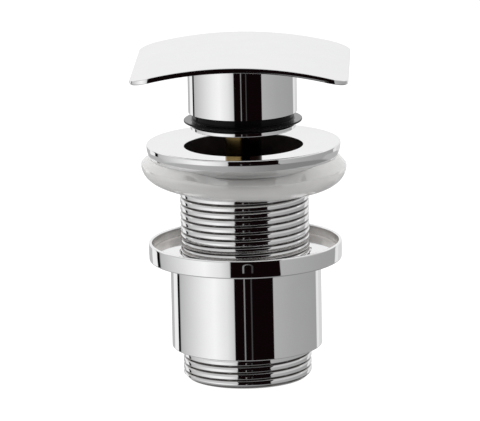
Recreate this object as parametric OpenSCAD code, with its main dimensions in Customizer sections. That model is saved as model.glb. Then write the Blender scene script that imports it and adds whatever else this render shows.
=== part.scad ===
// Pop up basin waste for a basin with no overflow. A sprung plug under an arched cover closes the mouth
// of a flanged body. A lower body with a cupped collar screws up the flanged body's threaded tail and
// clamps the basin between the collar and a soft seal. A push cartridge stands on a bridge in the tail.
// Sizes are in millimetres. Z is up, and the origin is the centre of the outlet's lower end.
// The plug is drawn raised, and the lower body part of the way up the tail.

/* [Pipe thread] */
// Outside diameter of the pipe thread on the tail and on the outlet
thread_d = 41.91; // [39:0.01:45]
// Radial gap between the tail and what screws or slides along it
thread_gap = 0.08; // [0.03:0.01:0.15]

/* [Lower body] */
// Length of the threaded outlet below the body
outlet_h = 10.3; // [7:0.1:16]
// Bevel round the outlet's lower end
outlet_bevel = 1.35; // [0.5:0.05:1.8]
// Wall of the outlet, out to the top of its thread
outlet_wall = 2.95; // [2.4:0.05:4]
// Wall of the body round its threaded socket
body_wall = 3.5; // [2.5:0.1:6]
// Height of the body, from the outlet to the underside of the collar
body_h = 28.8; // [24:0.1:40]
// Radius of the roundings at the edges of the body and the collar
body_round = 0.3; // [0.2:0.1:1]
// Thickness of the ledge between the outlet and the threaded socket
ledge_t = 2.5; // [1.5:0.1:4]
// Outside diameter of the cupped collar
collar_d = 62.9; // [58:0.1:72]
// Thickness of the collar's floor
collar_floor_t = 2.5; // [2:0.1:4]
// Depth of the cup above the collar's floor
cup_depth = 3.4; // [2:0.1:6]
// Thickness of the cup's rim
cup_wall = 1.15; // [0.8:0.05:2]
// Bevel round the mouth of the socket
socket_bevel = 0.5; // [0.2:0.1:0.8]
// Depth of the sealing ring below the collar's floor
socket_ring_depth = 1.4; // [1:0.1:3]
// Width of the sealing ring in the socket
socket_ring_w = 1.5; // [1:0.1:2]
// Height of the sealing ring in the socket
socket_ring_h = 1.6; // [1:0.1:2.4]

/* [Basin] */
// Clear height between the collar's rim and the foot of the flange seal
basin_gap = 17.85; // [14:0.05:30]

/* [Flange seal] */
// Width of the soft seal's shoulder, from the flange's underside out to its crease
seal_brim = 4.4; // [3:0.1:7]
// Width of the seal's flat foot
seal_foot_w = 2.65; // [1.5:0.05:4]
// Height of the seal, from its foot to the underside of the flange
seal_h = 8.2; // [6:0.1:12]
// Drop of the seal's sloping shoulder, from the flange to the crease
seal_shoulder_h = 1.2; // [0.6:0.1:2]

/* [Flanged body] */
// Diameter of the flange
flange_d = 63; // [60:0.1:70]
// Height of the flange, from its underside to its upper edge
flange_h = 6.55; // [5:0.05:8.5]
// Drop of the flange's dished top, from its edge in to the mouth
flange_dish = 1.05; // [0.5:0.05:1.5]
// Radius of the rounding round the flange's upper edge
flange_round = 0.5; // [0.3:0.1:1]
// Height of the upright part of the flange's rim
flange_rim_h = 1.5; // [1:0.1:2.5]
// Width of the flange's curved underside, from its rim in to the seal
flange_rim_w = 2.6; // [1.5:0.1:4]
// Lean of the curved underside where it meets the rim
flange_lean = 8; // [2:1:15]
// Wall of the tail round the mouth that the plug closes
mouth_wall = 1.65; // [1.2:0.05:2.4]
// Depth of the mouth, from the flange's upper edge
mouth_depth = 10.35; // [9:0.05:13]
// Wall of the tail below the mouth, out to the top of its thread
tail_wall = 2.95; // [2.5:0.05:4]
// Length of the flanged body, from the top of its flange to the end of its tail
tail_len = 49.15; // [47:0.05:54]
// Bevel round the end of the tail
tail_bevel = 1.2; // [0.5:0.1:1.5]

/* [Bridge] */
// Number of arms that hold the cartridge's hub in the tail
arm_count = 4; // [3:1:6]
// Width of an arm
arm_w = 3; // [2:0.1:4]
// Wall of the hub round the cartridge's stud
hub_wall = 4; // [3:0.1:4.5]
// Height of the hub and its arms
bridge_h = 5; // [4:0.1:6]

/* [Plug] */
// Height of the raised plug's underside above the flange's upper edge
plug_lift = 4.6; // [3:0.05:6.5]
// Width of the retainer's flange under the rubber
retainer_rim = 1.3; // [1:0.1:1.6]
// Thickness of the retainer's flange
retainer_t = 1.3; // [1:0.1:2]
// Gap between the sleeve and the hole through the retainer
retainer_gap = 0.5; // [0.3:0.05:1]
// Length of the retainer's threaded neck inside the plug
retainer_neck_h = 9; // [7:0.1:10]
// Wall of the retainer's threaded neck
retainer_wall = 1.9; // [1.4:0.1:2.4]
// Thickness of the rubber seal round the retainer's neck
rubber_wall = 0.85; // [0.6:0.05:1.4]
// Height of the rubber below its lip
rubber_foot_h = 1.15; // [0.8:0.05:1.6]
// Thickness of the rubber lip
lip_t = 0.6; // [0.4:0.05:1]
// Gap between the lip and the mouth that it closes
lip_gap = 0.1; // [0.05:0.01:0.15]
// Height of the rubber above its lip
rubber_neck_h = 2.5; // [1.5:0.1:4]
// Gap between the plug and the mouth that it stands over
plug_gap = 1.65; // [1.2:0.05:3]
// Height of the plug, from the rubber to the cover at the middle
plug_h = 18.5; // [17.5:0.1:24]
// Wall of the plug
plug_wall = 1.9; // [1.5:0.1:2.5]
// Thickness of the plug's top, from its ceiling to the cover at the middle
plug_top_t = 4.3; // [3.5:0.1:5]
// Diameter of the boss that the rod screws into
boss_d = 10; // [8:0.1:12]
// Height of the boss below the plug's ceiling
boss_h = 2.4; // [1.5:0.1:3]

/* [Cover] */
// Width of the cover across its arch
cover_w = 69.5; // [60:0.1:80]
// Depth of the cover along its arch
cover_depth = 68; // [60:0.1:80]
// Thickness of the cover
cover_t = 1.65; // [1.2:0.05:3]
// Radius of the arch, on top
arch_r = 127; // [100:1:200]
// Radius of the cover's corners
cover_corner_r = 6.2; // [2:0.1:8]

/* [Push cartridge] */
// Stroke of the plug
stroke = 12; // [9:0.1:12.5]
// Diameter of the cartridge's sleeve
sleeve_d = 11.7; // [11.3:0.1:12.5]
// Wall of the sleeve
sleeve_wall = 1.05; // [0.8:0.05:1.2]
// Height of the sleeve's top above the plug's underside, with the plug raised
sleeve_reach = 1.8; // [1.4:0.1:2.5]
// Thickness of the sleeve's closed end, above the bridge
sleeve_floor_t = 2; // [1.5:0.1:3]
// Width across the flats of the sleeve's hexagon
hex_af = 15; // [13:0.1:16]
// Height of the sleeve's hexagon
hex_h = 3; // [2:0.1:4]
// Diameter of the threaded stud under the sleeve
stud_d = 10; // [8:0.1:11]
// Width across the flats of the nut under the bridge
nut_af = 16; // [14:0.1:16.5]
// Height of the nut under the bridge
nut_h = 4.5; // [3.5:0.1:5]
// Length of stud that shows below the nut
stud_proud = 0.9; // [0.5:0.1:1.2]
// Diameter of the washer under the bridge
washer_d = 16.6; // [14:0.1:18]
// Gap between the stud and the washer under the bridge
washer_gap = 0.2; // [0.1:0.05:0.5]
// Thickness of the washer under the bridge
washer_t = 1.2; // [0.8:0.1:1.6]
// Diameter of the plunger rod
rod_d = 5; // [4:0.1:5.4]
// Height of the bush that guides the rod
bush_h = 4.5; // [3.6:0.1:6]
// Thickness of the rubber ring in the bush
rod_ring_t = 1.2; // [0.9:0.1:1.4]
// Thickness of the clip that holds the track drum on the rod
clip_t = 0.8; // [0.6:0.1:1]
// Outside diameter of the clip
clip_d = 8.4; // [7.4:0.1:8.8]
// Width of the clip's open side
clip_mouth = 3.8; // [3:0.1:4]
// Depth of the rod's groove for the clip
clip_groove = 0.4; // [0.3:0.05:0.6]
// Height of the rod's head under the drum
head_h = 1.5; // [1:0.1:2]
// Diameter of the pin on the rod's lower end that centres the spring
spigot_d = 3; // [2:0.1:4]
// Length of the pin on the rod's lower end
spigot_h = 4; // [3:0.1:4.5]
// Width across the flats of the nut that locks the plug on the rod
jam_nut_af = 8; // [7:0.1:9]
// Height of the nut that locks the plug on the rod
jam_nut_h = 2.6; // [2:0.1:2.8]
// Gap between parts that turn or slide on each other
run_gap = 0.05; // [0.02:0.01:0.1]
// Gap between parts that are fixed to each other
fit_gap = 0.02; // [0.01:0.01:0.04]

/* [Track drum] */
// Gap between the drum and the sleeve
drum_gap = 0.2; // [0.1:0.05:0.4]
// Number of presses in one turn of the drum
track_lobes = 4; // [3:1:5]
// Diameter of the pin that runs in the track
track_pin_d = 1.6; // [1.2:0.1:2]
// Gap between the pin and the sides of the track
track_gap = 0.35; // [0.3:0.05:0.5]
// Depth of the track at the middle of each run
track_depth = 1.25; // [1:0.05:1.4]
// Gap between the pin's end and the floor of the track at the middle of each run
pin_end_gap = 0.55; // [0.45:0.05:0.7]
// Height of the drum's wall above and below the track's turns
drum_margin = 0.55; // [0.4:0.05:1]

/* [Return spring] */
// Length of the spring with the plug raised
spring_len = 17; // [16.2:0.1:20]
// Thickness of the spring's wire
wire_d = 0.8; // [0.6:0.05:0.9]
// Diameter of the spring at the middle of its wire
coil_d = 7.8; // [7:0.1:8.2]
// Number of turns in the spring, with its two closed ends
coil_turns = 5.5; // [4.5:0.5:6]
// Gap between the turns at the spring's closed ends
coil_end_gap = 0.12; // [0.08:0.01:0.2]
// Thickness of the washer that the spring pushes on
spring_washer_t = 1; // [0.8:0.1:1.4]

/* [Hidden] */
$fn = 96;

// Extra length of a cutter past the face that it cuts
past = 1;
// Number of straight steps in a rounding and in a long curve
round_steps = 6;
curve_steps = 14;

// Radii
thread_r = thread_d / 2;
socket_r = thread_r + thread_gap;
body_r = socket_r + body_wall;
collar_r = collar_d / 2;
ring_r = socket_r + socket_ring_w;
flange_r = flange_d / 2;
flange_foot_r = flange_r - flange_rim_w;
mouth_r = thread_r - mouth_wall;
tail_bore_r = thread_r - tail_wall;
lip_r = mouth_r - lip_gap;
plug_r = mouth_r - plug_gap;
cavity_r = plug_r - plug_wall;
neck_r = cavity_r - fit_gap;
rubber_r = neck_r + fit_gap + rubber_wall;
retainer_r = neck_r + retainer_rim;
sleeve_r = sleeve_d / 2;
sleeve_bore_r = sleeve_r - sleeve_wall;
stud_r = stud_d / 2;
hub_r = stud_r + hub_wall;
rod_r = rod_d / 2;
drum_r = sleeve_bore_r - drum_gap;

// Heights up the outside, from the outlet's lower end
body_bottom = outlet_h;
collar_bottom = body_bottom + body_h;
cup_floor = collar_bottom + collar_floor_t;
cup_rim = cup_floor + cup_depth;
ring_top = cup_floor - socket_ring_depth;
ring_bottom = ring_top - socket_ring_h;
seal_foot = cup_rim + basin_gap;
flange_foot = seal_foot + seal_h;
flange_top = flange_foot + flange_h;
tail_end = flange_top - tail_len;
retainer_bottom = flange_top + plug_lift;
rubber_bottom = retainer_bottom + retainer_t;
lip_bottom = rubber_bottom + rubber_foot_h;
lip_top = lip_bottom + lip_t;
plug_bottom = lip_top + rubber_neck_h;
cover_underside = plug_bottom + plug_h;
arch_centre = cover_underside + cover_t - arch_r;

// Heights inside the plug
ceiling = cover_underside - plug_top_t;
boss_bottom = ceiling - boss_h;
jam_nut_bottom = boss_bottom - jam_nut_h;
rod_top = ceiling + plug_top_t / 2;

// Heights down the cartridge, from the top of its sleeve
sleeve_top = retainer_bottom + sleeve_reach;
bush_bottom = sleeve_top - bush_h;
clip_top = bush_bottom - run_gap;
clip_bottom = clip_top - clip_t;
drum_top = clip_bottom - run_gap;
track_half_w = track_pin_d / 2 + track_gap;
track_top = drum_top - drum_margin - track_half_w;
track_bottom = track_top - stroke;
drum_bottom = track_bottom - drum_margin - track_half_w;
head_top = drum_bottom - run_gap;
head_bottom = head_top - head_h;
spring_top = head_bottom - run_gap - spring_washer_t;
sleeve_floor = spring_top - spring_len;
bridge_top = sleeve_floor - sleeve_floor_t;
bridge_bottom = bridge_top - bridge_h;
washer_bottom = bridge_bottom - washer_t;
nut_bottom = washer_bottom - nut_h;
stud_bottom = nut_bottom - stud_proud;

// Track, laid out at the middle of the pin's length inside it
track_turn = 180 / track_lobes;
track_floor_r = drum_r - track_depth;
pin_end_r = track_floor_r + pin_end_gap;
track_mid_r = (pin_end_r + drum_r) / 2;
track_half_run = track_mid_r * sin(track_turn / 2);
track_lean = atan(2 * track_half_run / stroke);
track_run = stroke / cos(track_lean);

function hex_r(flats) = flats / 2 / cos(30);

// Points along part of a circle or an ellipse in the plane of radius and height
function arc(centre, size, from, to, steps) = [
    for (i = [0 : steps])
        let (a = from + (to - from) * i / steps)
            [centre[0] + size[0] * cos(a), centre[1] + size[1] * sin(a)]
];

// A plain tube or washer
module tube(outer, inner, bottom, top) {
    translate([0, 0, bottom])
        difference() {
            cylinder(r = outer, h = top - bottom);
            translate([0, 0, -past])
                cylinder(r = inner, h = top - bottom + 2 * past);
        }
}

// A hexagonal nut with a plain hole
module nut(flats, hole_r, bottom, height) {
    translate([0, 0, bottom])
        difference() {
            cylinder(r = hex_r(flats), h = height, $fn = 6);
            translate([0, 0, -past])
                cylinder(r = hole_r, h = height + 2 * past);
        }
}

// A long bar along Y under the arch, whose round top is the arch of the given radius
module arch_bar(radius) {
    translate([0, 0, arch_centre])
        rotate([90, 0, 0])
            cylinder(r = radius, h = cover_depth + 2 * past, center = true, $fn = 180);
}

// The cover's outline seen from above
module cover_outline() {
    inner_w = cover_w - 2 * cover_corner_r;
    inner_depth = cover_depth - 2 * cover_corner_r;
    square([inner_w, cover_depth], center = true);
    square([cover_w, inner_depth], center = true);
    for (x = [-1, 1], y = [-1, 1])
        translate([x * inner_w / 2, y * inner_depth / 2])
            circle(r = cover_corner_r);
}

// Arched cover, cut from a sheet of even thickness
module cover_plate() {
    color("gainsboro")
        difference() {
            intersection() {
                arch_bar(arch_r);
                translate([0, 0, plug_bottom])
                    linear_extrude(height = cover_underside - plug_bottom + cover_t + past)
                        cover_outline();
            }
            arch_bar(arch_r - cover_t);
        }
}

// Hollow plug whose top is shaped to the underside of the cover
module plug_body() {
    color("silver")
        difference() {
            intersection() {
                translate([0, 0, plug_bottom])
                    cylinder(r = plug_r, h = plug_h + cover_t);
                arch_bar(arch_r - cover_t - fit_gap);
            }
            difference() {
                translate([0, 0, plug_bottom - past])
                    cylinder(r = cavity_r, h = ceiling - plug_bottom + past);
                translate([0, 0, boss_bottom])
                    cylinder(d = boss_d, h = boss_h + past);
            }
            translate([0, 0, boss_bottom - past])
                cylinder(r = rod_r + fit_gap, h = rod_top + fit_gap - boss_bottom + past);
        }
}

// Rubber seal with a thin lip, held between the plug and the retainer
module plug_lip_seal() {
    inner = neck_r + fit_gap;
    color("#202022")
        rotate_extrude()
            polygon([
                [inner, rubber_bottom],
                [rubber_r, rubber_bottom],
                [rubber_r, lip_bottom],
                [lip_r, lip_bottom],
                [lip_r, lip_top],
                [rubber_r, lip_top],
                [rubber_r, plug_bottom],
                [inner, plug_bottom]
            ]);
}

// Flanged ring that screws up into the plug and clamps the rubber
module seal_retainer() {
    inner = neck_r - retainer_wall;
    hole = sleeve_r + retainer_gap;
    neck_top = rubber_bottom + retainer_neck_h;
    color("silver")
        rotate_extrude()
            polygon([
                [hole, retainer_bottom],
                [retainer_r, retainer_bottom],
                [retainer_r, rubber_bottom],
                [neck_r, rubber_bottom],
                [neck_r, neck_top],
                [inner, neck_top],
                [inner, rubber_bottom],
                [hole, rubber_bottom]
            ]);
}

// Nut that locks the plug on the rod
module plug_lock_nut() {
    color("goldenrod")
        nut(jam_nut_af, rod_r + fit_gap, jam_nut_bottom, jam_nut_h);
}

// Rod that carries the plug, with a head under the track drum and a groove for the clip
module plunger_rod() {
    groove_bottom = clip_bottom - fit_gap;
    groove_top = clip_top + fit_gap;
    groove_r = rod_r - clip_groove;
    color("lightgray")
        rotate_extrude()
            polygon([
                [0, head_bottom - spigot_h],
                [spigot_d / 2, head_bottom - spigot_h],
                [spigot_d / 2, head_bottom],
                [sleeve_bore_r - 2 * drum_gap, head_bottom],
                [sleeve_bore_r - 2 * drum_gap, head_top],
                [rod_r, head_top],
                [rod_r, groove_bottom],
                [groove_r, groove_bottom],
                [groove_r, groove_top],
                [rod_r, groove_top],
                [rod_r, rod_top],
                [0, rod_top]
            ]);
}

// Open spring clip that keeps the drum on the rod
module drum_clip() {
    inner = rod_r - clip_groove + fit_gap;
    color("dimgray")
        difference() {
            tube(clip_d / 2, inner, clip_bottom, clip_top);
            translate([0, -clip_mouth / 2, clip_bottom - past])
                cube([clip_d, clip_mouth, clip_t + 2 * past]);
        }
}

// One straight run of the track, which leans to one side and ends on a round turn
module track_run_cut(side) {
    rotate([side * track_lean, 0, 0])
        translate([track_floor_r, -track_half_w, -track_run / 2])
            cube([track_depth + past, 2 * track_half_w, track_run]);
}

// Drum with an endless zigzag track: each press of the plug turns it one run further
module track_drum() {
    color("ivory")
        difference() {
            tube(drum_r, rod_r + run_gap, drum_bottom, drum_top);
            for (i = [0 : 2 * track_lobes - 1]) {
                side = i % 2 == 0 ? -1 : 1;
                turn_z = i % 2 == 0 ? track_bottom : track_top;
                rotate([0, 0, (i + 0.5) * track_turn])
                    translate([0, 0, (track_bottom + track_top) / 2])
                        track_run_cut(side);
                rotate([0, 0, i * track_turn])
                    translate([track_floor_r, 0, turn_z])
                        rotate([0, 90, 0])
                            cylinder(r = track_half_w, h = track_depth + past);
            }
        }
}

// Washer between the rod's head and the spring
module spring_washer() {
    color("gainsboro")
        tube(drum_r, spigot_d / 2 + drum_gap, spring_top, spring_top + spring_washer_t);
}

// Height of the wire's middle after a number of turns: one close turn at each end, open between
function coil_z(turn) =
    let (close = wire_d + coil_end_gap, open_turns = coil_turns - 2)
        let (open = (spring_len - wire_d - 2 * close) / open_turns)
            sleeve_floor + wire_d / 2 + close * min(turn, 1) + open * max(0, min(turn - 1, open_turns))
                + close * max(0, turn - 1 - open_turns);

// Compression spring with closed ends
module return_spring() {
    sides = 8;
    per_turn = 24;
    rings = round(coil_turns * per_turn);
    points = [
        for (i = [0 : rings], j = [0 : sides - 1])
            let (a = 360 * i / per_turn, b = 360 * j / sides, r = coil_d / 2 + wire_d / 2 * cos(b))
                [r * cos(a), r * sin(a), coil_z(i / per_turn) + wire_d / 2 * sin(b)]
    ];
    walls = [
        for (i = [0 : rings - 1], j = [0 : sides - 1])
            let (k = (j + 1) % sides)
                [i * sides + j, i * sides + k, (i + 1) * sides + k, (i + 1) * sides + j]
    ];
    start = [for (j = [sides - 1 : -1 : 0]) j];
    finish = [for (j = [0 : sides - 1]) rings * sides + j];
    color("lightsteelblue")
        polyhedron(points, concat(walls, [start, finish]), convexity = 10);
}

// Bush in the top of the sleeve that guides the rod, with an inside groove for the rubber ring
module guide_bush() {
    groove_middle = (sleeve_top + bush_bottom) / 2;
    groove_half = rod_ring_t / 2 + run_gap;
    inner = rod_r + run_gap;
    groove_r = inner + rod_ring_t + run_gap;
    outer = sleeve_bore_r - fit_gap;
    color("goldenrod")
        rotate_extrude()
            polygon([
                [inner, bush_bottom],
                [outer, bush_bottom],
                [outer, sleeve_top],
                [inner, sleeve_top],
                [inner, groove_middle + groove_half],
                [groove_r, groove_middle + groove_half],
                [groove_r, groove_middle - groove_half],
                [inner, groove_middle - groove_half]
            ]);
}

// Rubber ring round the rod
module rod_ring() {
    color("#202022")
        translate([0, 0, (sleeve_top + bush_bottom) / 2])
            rotate_extrude()
                translate([rod_r + run_gap + rod_ring_t / 2, 0])
                    circle(d = rod_ring_t, $fn = 32);
}

// Pin through the wall of the sleeve that runs in the drum's track
module track_pin() {
    color("lightsteelblue")
        translate([pin_end_r, 0, track_bottom])
            rotate([0, 90, 0])
                cylinder(d = track_pin_d, h = sleeve_r - pin_end_r);
}

// Closed sleeve with a hexagon to turn it by, and a stud that screws through the bridge
module cartridge_sleeve() {
    color("darkgoldenrod")
        difference() {
            union() {
                translate([0, 0, bridge_top])
                    cylinder(r = sleeve_r, h = sleeve_top - bridge_top);
                translate([0, 0, bridge_top])
                    cylinder(r = hex_r(hex_af), h = hex_h, $fn = 6);
                translate([0, 0, stud_bottom])
                    cylinder(r = stud_r, h = bridge_top - stud_bottom + sleeve_floor_t / 2);
            }
            translate([0, 0, sleeve_floor])
                cylinder(r = sleeve_bore_r, h = sleeve_top - sleeve_floor + past);
            translate([sleeve_bore_r / 2, 0, track_bottom])
                rotate([0, 90, 0])
                    cylinder(d = track_pin_d + 2 * fit_gap, h = sleeve_r);
        }
}

// Washer between the bridge and the nut
module cartridge_washer() {
    color("gainsboro")
        tube(washer_d / 2, stud_r + washer_gap, washer_bottom, bridge_bottom);
}

// Nut that holds the cartridge in the bridge
module cartridge_nut() {
    color("goldenrod")
        nut(nut_af, stud_r + fit_gap, nut_bottom, nut_h);
}

// Outline of the flange and its tail, with a dished top and a mouth that narrows to the tail's bore
module flange_profile() {
    mouth_bottom = flange_top - mouth_depth;
    edge = [flange_r - flange_round, flange_top - flange_round];
    under_h = flange_h - flange_rim_h;
    under_lean = 2 * atan(flange_rim_w / under_h) - flange_lean;
    under_r = under_h / (sin(under_lean) - sin(flange_lean));
    under_centre = [flange_foot_r - under_r * cos(under_lean), flange_foot + under_r * sin(under_lean)];
    polygon(concat(
        [
            [tail_bore_r, tail_end],
            [thread_r - tail_bevel, tail_end],
            [thread_r, tail_end + tail_bevel],
            [thread_r, flange_foot]
        ],
        arc(under_centre, [under_r, under_r], -under_lean, -flange_lean, curve_steps),
        arc(edge, [flange_round, flange_round], 0, 90, round_steps),
        [
            [mouth_r, flange_top - flange_dish],
            [mouth_r, mouth_bottom],
            [tail_bore_r, mouth_bottom - (mouth_r - tail_bore_r)]
        ]
    ));
}

// Flanged body with its threaded tail, and the bridge across the tail's bore
module flanged_body() {
    color("silver")
        difference() {
            union() {
                rotate_extrude()
                    flange_profile();
                translate([0, 0, bridge_bottom])
                    cylinder(r = hub_r, h = bridge_h);
                for (i = [0 : arm_count - 1])
                    rotate([0, 0, (i + 0.5) * 360 / arm_count])
                        translate([0, -arm_w / 2, bridge_bottom])
                            cube([(tail_bore_r + thread_r) / 2, arm_w, bridge_h]);
            }
            translate([0, 0, bridge_bottom - past])
                cylinder(r = stud_r + fit_gap, h = bridge_h + 2 * past);
        }
}

// Soft seal under the flange, with a sloping shoulder, a crease and a bowl-shaped flank
module flange_seal() {
    crease = flange_foot - seal_shoulder_h;
    inner = thread_r + thread_gap;
    foot_r = inner + seal_foot_w;
    crease_r = flange_foot_r + seal_brim;
    color("lightgray")
        rotate_extrude()
            polygon(concat(
                [[inner, seal_foot]],
                arc([foot_r, crease], [crease_r - foot_r, crease - seal_foot], -90, 0, curve_steps),
                [
                    [flange_foot_r, flange_foot],
                    [inner, flange_foot]
                ]
            ));
}

// Sealing ring in the socket, which slides along the tail
module socket_ring() {
    color("whitesmoke")
        tube(ring_r - thread_gap, socket_r, ring_bottom, ring_top);
}

// Lower body: a threaded outlet, a plain body with a threaded socket, and a cupped collar
module lower_body() {
    cup_r = collar_r - cup_wall;
    bore_r = thread_r - outlet_wall;
    rounding = [body_round, body_round];
    rim_round = cup_wall / 2;
    rim_middle = [collar_r - rim_round, cup_rim - rim_round];
    color("silver")
        rotate_extrude()
            polygon(concat(
                [
                    [bore_r, 0],
                    [thread_r - outlet_bevel, 0],
                    [thread_r, outlet_bevel],
                    [thread_r, body_bottom]
                ],
                arc([body_r - body_round, body_bottom + body_round], rounding, -90, 0, round_steps),
                [[body_r, collar_bottom]],
                arc([collar_r - body_round, collar_bottom + body_round], rounding, -90, 0, round_steps),
                arc(rim_middle, [rim_round, rim_round], 0, 180, 2 * round_steps),
                [
                    [cup_r, cup_floor],
                    [socket_r + socket_bevel, cup_floor],
                    [socket_r, cup_floor - socket_bevel],
                    [socket_r, ring_top + fit_gap],
                    [ring_r, ring_top + fit_gap],
                    [ring_r, ring_bottom - fit_gap],
                    [socket_r, ring_bottom - fit_gap],
                    [socket_r, body_bottom + ledge_t],
                    [bore_r, body_bottom + ledge_t]
                ]
            ));
}

cover_plate();
plug_body();
plug_lip_seal();
seal_retainer();
plug_lock_nut();
plunger_rod();
drum_clip();
track_drum();
spring_washer();
return_spring();
guide_bush();
rod_ring();
track_pin();
cartridge_sleeve();
cartridge_washer();
cartridge_nut();
flanged_body();
flange_seal();
socket_ring();
lower_body();
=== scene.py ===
"""Looks of a pop up basin waste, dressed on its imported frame. Lengths are metres, in the frame's axes."""

import math

import bmesh
import bpy
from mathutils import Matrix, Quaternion, Vector


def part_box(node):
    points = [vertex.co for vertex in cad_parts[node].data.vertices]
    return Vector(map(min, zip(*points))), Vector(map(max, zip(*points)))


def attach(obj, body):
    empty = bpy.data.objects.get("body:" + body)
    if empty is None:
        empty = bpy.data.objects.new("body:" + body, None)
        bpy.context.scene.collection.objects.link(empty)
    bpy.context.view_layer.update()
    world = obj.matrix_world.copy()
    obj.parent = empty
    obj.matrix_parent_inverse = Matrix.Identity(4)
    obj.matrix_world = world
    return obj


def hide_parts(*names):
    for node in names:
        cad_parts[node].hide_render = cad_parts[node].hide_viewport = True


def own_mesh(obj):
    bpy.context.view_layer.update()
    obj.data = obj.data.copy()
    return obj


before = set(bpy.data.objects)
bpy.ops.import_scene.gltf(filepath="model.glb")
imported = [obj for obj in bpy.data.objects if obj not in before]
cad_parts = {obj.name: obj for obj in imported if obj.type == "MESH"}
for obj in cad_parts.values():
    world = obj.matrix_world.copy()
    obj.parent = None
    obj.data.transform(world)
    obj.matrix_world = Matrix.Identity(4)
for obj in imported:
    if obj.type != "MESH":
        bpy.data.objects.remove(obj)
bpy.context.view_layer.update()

MM = 0.001
TAU = 2 * math.pi
SPIN = 144                                  # steps round a turned piece
ROUND_STEPS = 5                             # steps in a rounded corner
CURVE_STEPS = 14                            # steps in a long curve
SUPPORT = 0.03 * MM                         # flat stretch beside a rounded corner, for even shading
SHARP_ANGLE = math.radians(35)              # edges that turn more than this are shaded sharp
QUARTER = 90                                # degrees of a quarter turn
FRONT = TAU * 3 / 4                         # turn of a mesh's side that faces the camera


def node_span(node):
    """Largest radius, lowest and highest height of a round CAD node."""
    low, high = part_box(node)
    return high.x, low.z, high.z


# Sizes that the frame gives
FLANGE_R, TAIL_END, FLANGE_TOP = node_span("flanged_body")
COLLAR_R, OUTLET_END, CUP_RIM = node_span("lower_body")
SEAL_R, SEAL_FOOT, FLANGE_FOOT = node_span("flange_seal")
LIP_R, RUBBER_BOTTOM, PLUG_BOTTOM = node_span("plug_lip_seal")
RETAINER_R, RETAINER_BOTTOM, NECK_TOP = node_span("seal_retainer")
SLEEVE_R, _, _ = node_span("cartridge_sleeve")
SPRING_R, SPRING_BOTTOM, SPRING_TOP = node_span("return_spring")
_, RING_BOTTOM, RING_TOP = node_span("socket_ring")
_, COVER_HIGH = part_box("cover_plate")

# Pipe thread on the tail and the outlet
THREAD_R = 20.955 * MM
THREAD_PITCH = 2.309 * MM
THREAD_DEPTH = 0.32 * MM
THREAD_ROWS = 20                            # outline points in one pitch
GROOVE_POWERS = (1.3, 8)                    # how broad the crests' upper and lower sides are
NOTCH_SHARE = 1.3                           # depth of the notch in each groove, in THREAD_DEPTHs
NOTCH_TURN = math.radians(12)               # turn of the pitch by which it lies above the groove's middle
NOTCH_POWER = 14                            # how narrow it is
GROOVE_LINE = math.radians(192)             # turn of the pitch where the painted shade line in a groove is darkest
GROOVE_HALF = math.radians(66)              # half width of that line
GROOVE_SOFT = (1.3, 0.7)                    # shares of it between which the line sets in
GROOVE_DEEP = (0.001 * MM, 0.01 * MM)       # depths between which the line shows
THREAD_GAP = 0.08 * MM
SOCKET_R = THREAD_R + THREAD_GAP

# Lower body
BODY_BOTTOM = 10.3 * MM
BODY_R = SOCKET_R + 3.5 * MM
BODY_ROUND = 0.3 * MM
OUTLET_WALL = 2.95 * MM
OUTLET_BEVEL = 1.35 * MM
OUTLET_RUN_OUT = THREAD_PITCH
LEDGE = BODY_BOTTOM + 2.5 * MM
COLLAR_BOTTOM = 39.1 * MM
COLLAR_ROOT_ROUND = 0.2 * MM
COLLAR_ROUND = 0.45 * MM
COLLAR_BULGE = 0.065 * MM                   # how far polishing has crowned the collar's wall
CUP_FLOOR = 41.6 * MM
CUP_WALL = 1.15 * MM
CUP_ROUND = 0.35 * MM
SOCKET_BEVEL = 0.5 * MM
RING_GROOVE = 1.5 * MM
RING_SLACK = 0.02 * MM

# Flanged body
TAIL_BORE_R = THREAD_R - 2.95 * MM
TAIL_BEVEL = 1.2 * MM
TAIL_RUN_OUT = 2 * THREAD_PITCH
MOUTH_R = THREAD_R - 1.65 * MM
MOUTH_TOP = FLANGE_TOP - 1.05 * MM          # the flange's top is dished
MOUTH_BOTTOM = FLANGE_TOP - 10.35 * MM
MOUTH_ROUND = 0.2 * MM
FLANGE_FOOT_R = FLANGE_R - 2.6 * MM
FLANGE_ROUND = 0.45 * MM
RIM_BOTTOM = FLANGE_TOP - 1.5 * MM
RIM_FOOT_R = FLANGE_R - 0.08 * MM           # the rim's wall leans in a little
RIM_LEAN = math.radians(8)                  # lean of the underside where it meets the rim
UNDER_H = RIM_BOTTOM - FLANGE_FOOT
FOOT_LEAN = 2 * math.atan((RIM_FOOT_R - FLANGE_FOOT_R) / UNDER_H) - RIM_LEAN
UNDER_R = UNDER_H / (math.sin(FOOT_LEAN) - math.sin(RIM_LEAN))
UNDER_CENTRE = (FLANGE_FOOT_R - UNDER_R * math.cos(FOOT_LEAN), FLANGE_FOOT + UNDER_R * math.sin(FOOT_LEAN))
BRIDGE_BOTTOM = 36.6 * MM
BRIDGE_TOP = 41.6 * MM
HUB_R = 9 * MM
HUB_ROUND = 0.4 * MM
STUD_R = 5.02 * MM
ARM_W = 3 * MM
ARM_COUNT = 4
ARM_ROUND = 0.3 * MM
ARM_STEPS = 2

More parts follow.
